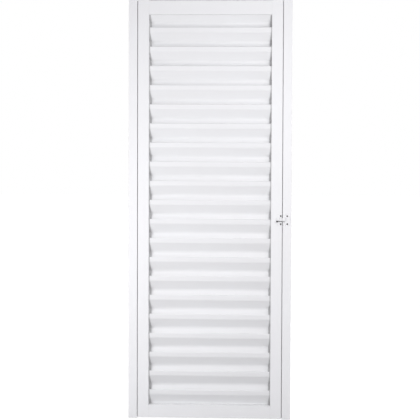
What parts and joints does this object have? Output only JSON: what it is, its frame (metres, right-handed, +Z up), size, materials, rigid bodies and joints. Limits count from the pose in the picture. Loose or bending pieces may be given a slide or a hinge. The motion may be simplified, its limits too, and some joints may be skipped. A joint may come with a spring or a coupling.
{
  "type": "louvred door",
  "caption": "White aluminium louvred door leaf on butt hinges in its own frame, with fixed slats between two stiles and two rails and a small surface slide bolt.",
  "frame": {"origin": "on the floor, at the middle of the door's width and depth", "axes": "+Z up; +X to the right and -Y towards someone facing the side with the latch; the leaf swings to +Y"},
  "size_m": [0.8, 0.071, 2.1],
  "materials": {
    "frame_paint": "white powder coat on extruded aluminium, satin",
    "leaf_paint": "white powder coat on extruded aluminium, satin",
    "slat_paint": "white coil coat on bent aluminium sheet, satin",
    "latch_paint": "white enamel on die-cast metal, satin",
    "hinge_paint": "white powder coat on steel, satin",
    "seal_rubber": "extruded sealing rubber, matt",
    "clip_nylon": "moulded grey nylon, matt",
    "hinge_nylon": "natural nylon, matt",
    "cast_cleat": "mill finish",
    "zinc_steel": "bright zinc plated",
    "dark_steel": "dulled steel",
    "pin_steel": "plain steel, satin",
    "spring_steel": "spring steel, plain"
  },
  "bodies": {
    "frame": {"hinge_jamb": "frame_paint", "strike_jamb": "frame_paint", "frame_head": "frame_paint", "hinge_jamb_seal": "seal_rubber", "strike_jamb_seal": "seal_rubber", "head_seal": "seal_rubber", "frame_corner_cleats": "cast_cleat", "frame_corner_screws": "zinc_steel", "hinge_frame_screws": "zinc_steel", "hinge_washers": "hinge_nylon", "latch_keeper": "latch_paint", "latch_keeper_screws": "dark_steel", "lower_hinge_frame_leaf": "hinge_paint", "lower_hinge_pin": "pin_steel", "middle_hinge_frame_leaf": "hinge_paint", "middle_hinge_pin": "pin_steel", "upper_hinge_frame_leaf": "hinge_paint", "upper_hinge_pin": "pin_steel"},
    "leaf": {"hinge_stile": "leaf_paint", "lock_stile": "leaf_paint", "top_rail": "leaf_paint", "bottom_rail": "leaf_paint", "leaf_corner_cleats": "cast_cleat", "leaf_corner_screws": "zinc_steel", "left_slat_clips": "clip_nylon", "right_slat_clips": "clip_nylon", "hinge_door_screws": "zinc_steel", "latch_base": "latch_paint", "latch_base_screws": "dark_steel", "latch_detent_spring": "spring_steel", "lower_hinge_door_leaf": "hinge_paint", "middle_hinge_door_leaf": "hinge_paint", "upper_hinge_door_leaf": "hinge_paint", "slat_01": "slat_paint", "slat_02": "slat_paint", "slat_03": "slat_paint", "slat_04": "slat_paint", "slat_05": "slat_paint", "slat_06": "slat_paint", "slat_07": "slat_paint", "slat_08": "slat_paint", "slat_09": "slat_paint", "slat_10": "slat_paint", "slat_11": "slat_paint", "slat_12": "slat_paint", "slat_13": "slat_paint", "slat_14": "slat_paint", "slat_15": "slat_paint", "slat_16": "slat_paint", "slat_17": "slat_paint", "slat_18": "slat_paint", "slat_19": "slat_paint", "slat_20": "slat_paint", "slat_21": "slat_paint"},
    "bolt": {"latch_bolt": "latch_paint", "latch_thumb_grip": "dark_steel", "latch_bolt_strip": "dark_steel"}
  },
  "joints": [
    {"name": "leaf_swing", "type": "hinge", "parent": "frame", "child": "leaf", "pos_m": [-0.3685, 0.0295, 1.05], "axis": [0, 0, 1], "range_deg": [0, 170]},
    {"name": "latch_slide", "type": "slide", "parent": "leaf", "child": "bolt", "axis": [1, 0, 0], "range_m": [0, 0.008]}
  ]
}
